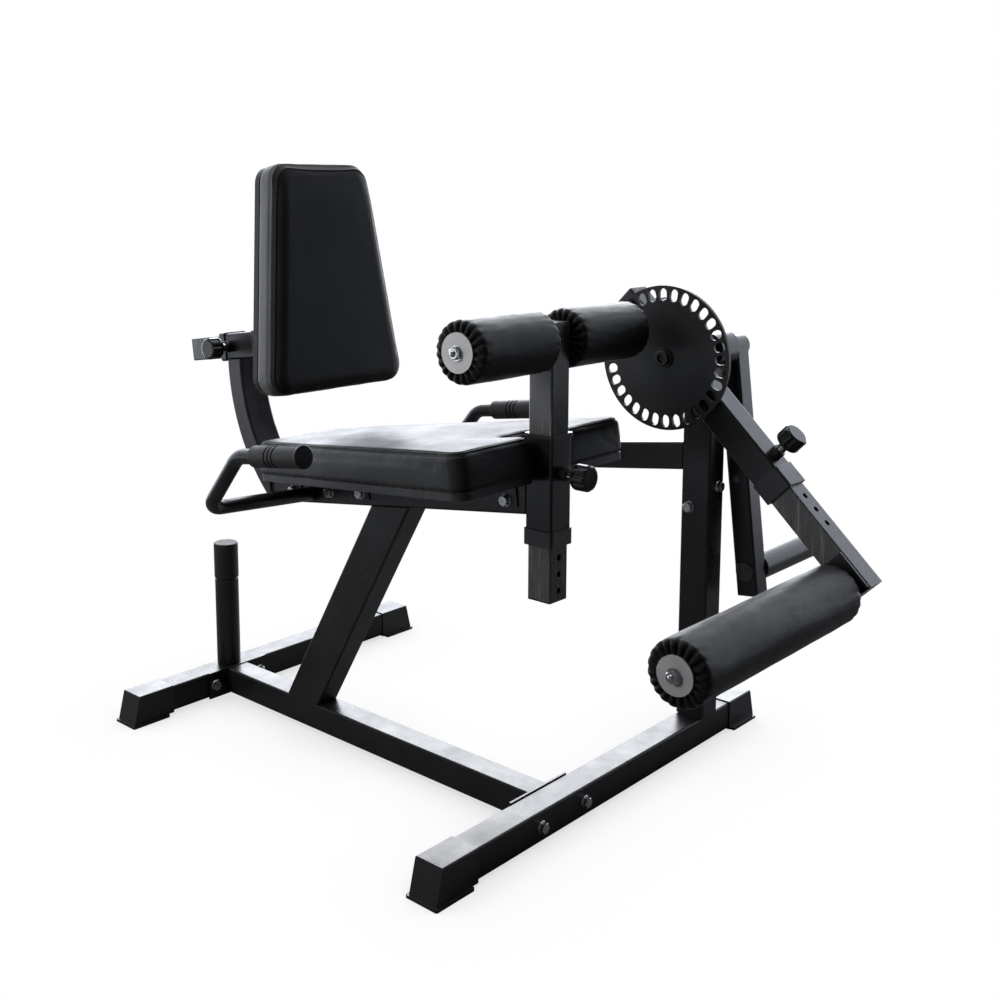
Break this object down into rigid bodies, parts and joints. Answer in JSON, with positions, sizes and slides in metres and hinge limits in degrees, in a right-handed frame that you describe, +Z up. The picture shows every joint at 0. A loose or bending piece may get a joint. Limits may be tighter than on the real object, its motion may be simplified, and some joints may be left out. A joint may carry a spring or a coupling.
{
  "type": "leg extension machine",
  "caption": "Plate-loaded leg extension machine with padded seat and backrest, thigh and ankle rollers, an indexed lever and a weight arm with a plate horn.",
  "frame": {"origin": "on the floor, under the centre of the machine's bounding box", "axes": "+Z up, +Y to the rear (backrest side), +X to the seated user's left (lever side)"},
  "size_m": [1.0434, 1.271, 1.0539],
  "materials": {
    "frame_paint": "satin black powder coat with a fine texture",
    "slide_paint": "smooth satin dark grey coating that gets rubbed by its sleeve",
    "disc_paint": "satin black powder coat on laser-cut plate",
    "zinc_steel": "bright zinc plate",
    "chrome_steel": "polished chrome plate",
    "vinyl": "fine-grained black upholstery vinyl, satin, with sewn seams",
    "roller_vinyl": "smooth black vinyl sleeve over foam, gathered into pleats at the ends",
    "board": "plywood base wrapped in the same black vinyl, stapled underneath",
    "grip_rubber": "matt black rubber",
    "plastic": "moulded black plastic with a light texture",
    "knob_plastic": "glossy black moulded plastic",
    "disc_plastic": "light grey moulded plastic end disc"
  },
  "bodies": {
    "frame": {"front_crossbar": "frame_paint", "rear_crossbar": "frame_paint", "main_beam": "frame_paint", "beam_end_plates": "frame_paint", "foot_caps": "plastic", "frame_bolts": "zinc_steel", "frame_nuts": "zinc_steel", "storage_post": "frame_paint", "storage_sleeve": "grip_rubber", "upright": "frame_paint", "pivot_housing": "frame_paint", "seat_post": "frame_paint", "seat_rail": "frame_paint", "side_bar": "frame_paint", "cross_tube": "frame_paint", "seat_brackets": "frame_paint", "seat_board": "board", "seat_pad": "vinyl", "handle_tubes": "frame_paint", "handle_grips": "grip_rubber", "grip_caps": "plastic", "thigh_sleeve": "frame_paint", "sleeve_collars": "plastic", "backrest_post": "frame_paint", "backrest_sleeve": "frame_paint"},
    "thigh_post": {"thigh_tube": "slide_paint", "thigh_tube_plugs": "plastic", "thigh_roller_bar": "frame_paint", "thigh_end_discs": "disc_plastic", "thigh_end_bolts": "chrome_steel"},
    "right_thigh_roller": {"thigh_roller_right": "roller_vinyl"},
    "left_thigh_roller": {"thigh_roller_left": "roller_vinyl"},
    "thigh_pull_pin": {"thigh_pin": "chrome_steel", "thigh_knob": "knob_plastic"},
    "rotor": {"index_disc": "disc_paint", "pivot_shaft": "zinc_steel", "shaft_bolt": "disc_paint", "weight_arm": "frame_paint", "weight_horn": "slide_paint", "weight_arm_caps": "plastic"},
    "lever": {"lever_tube": "frame_paint", "lever_collar": "plastic", "lever_end_plug": "plastic"},
    "lever_extension": {"lever_slide_tube": "slide_paint", "lever_slide_plug": "plastic", "ankle_bar": "frame_paint", "ankle_end_disc": "disc_plastic", "ankle_end_bolt": "chrome_steel"},
    "ankle_pad": {"ankle_roller": "roller_vinyl"},
    "length_pull_pin": {"length_pin": "chrome_steel", "length_knob": "knob_plastic"},
    "index_pull_pin": {"index_pin": "chrome_steel", "index_knob": "knob_plastic"},
    "backrest": {"backrest_slide": "slide_paint", "backrest_slide_plug": "plastic", "backrest_plate": "frame_paint", "backrest_board": "board", "backrest_pad": "vinyl"},
    "backrest_pull_pin": {"backrest_pin": "chrome_steel", "backrest_knob": "knob_plastic"}
  },
  "joints": [
    {"name": "weight_arm_swing", "type": "hinge", "parent": "frame", "child": "rotor", "pos_m": [0.19051, -0.27709, 0.73], "axis": [-1, 0, 0], "range_deg": [-5, 60]},
    {"name": "lever_index", "type": "hinge", "parent": "rotor", "child": "lever", "pos_m": [0.09051, -0.27709, 0.73], "axis": [-1, 0, 0], "range_deg": [-56.25, 33.75]},
    {"name": "lever_length", "type": "slide", "parent": "lever", "child": "lever_extension", "axis": [0, -0.7169, -0.6972], "range_m": [-0.0265, 0.053]},
    {"name": "ankle_roller_spin", "type": "hinge", "parent": "lever_extension", "child": "ankle_pad", "pos_m": [-0.16249, -0.58235, 0.3927], "axis": [1, 0, 0], "continuous": true},
    {"name": "thigh_height", "type": "slide", "parent": "frame", "child": "thigh_post", "axis": [0, 0, 1], "range_m": [0, 0.106]},
    {"name": "right_thigh_roller_spin", "type": "hinge", "parent": "thigh_post", "child": "right_thigh_roller", "pos_m": [-0.32999, -0.24409, 0.78], "axis": [1, 0, 0], "continuous": true},
    {"name": "left_thigh_roller_spin", "type": "hinge", "parent": "thigh_post", "child": "left_thigh_roller", "pos_m": [-0.09699, -0.24409, 0.78], "axis": [1, 0, 0], "continuous": true},
    {"name": "backrest_depth", "type": "slide", "parent": "frame", "child": "backrest", "axis": [0, 0.9914, -0.1305], "range_m": [-0.08, 0.1]},
    {"name": "thigh_pin_pull", "type": "slide", "parent": "frame", "child": "thigh_pull_pin", "axis": [0, -1, 0], "range_m": [0, 0.012]},
    {"name": "length_pin_pull", "type": "slide", "parent": "lever", "child": "length_pull_pin", "axis": [0, -0.6972, 0.7169], "range_m": [0, 0.012]},
    {"name": "index_pin_pull", "type": "slide", "parent": "lever", "child": "index_pull_pin", "axis": [1, 0, 0], "range_m": [0, 0.012]},
    {"name": "backrest_pin_pull", "type": "slide", "parent": "frame", "child": "backrest_pull_pin", "axis": [-1, 0, 0], "range_m": [0, 0.012]}
  ]
}
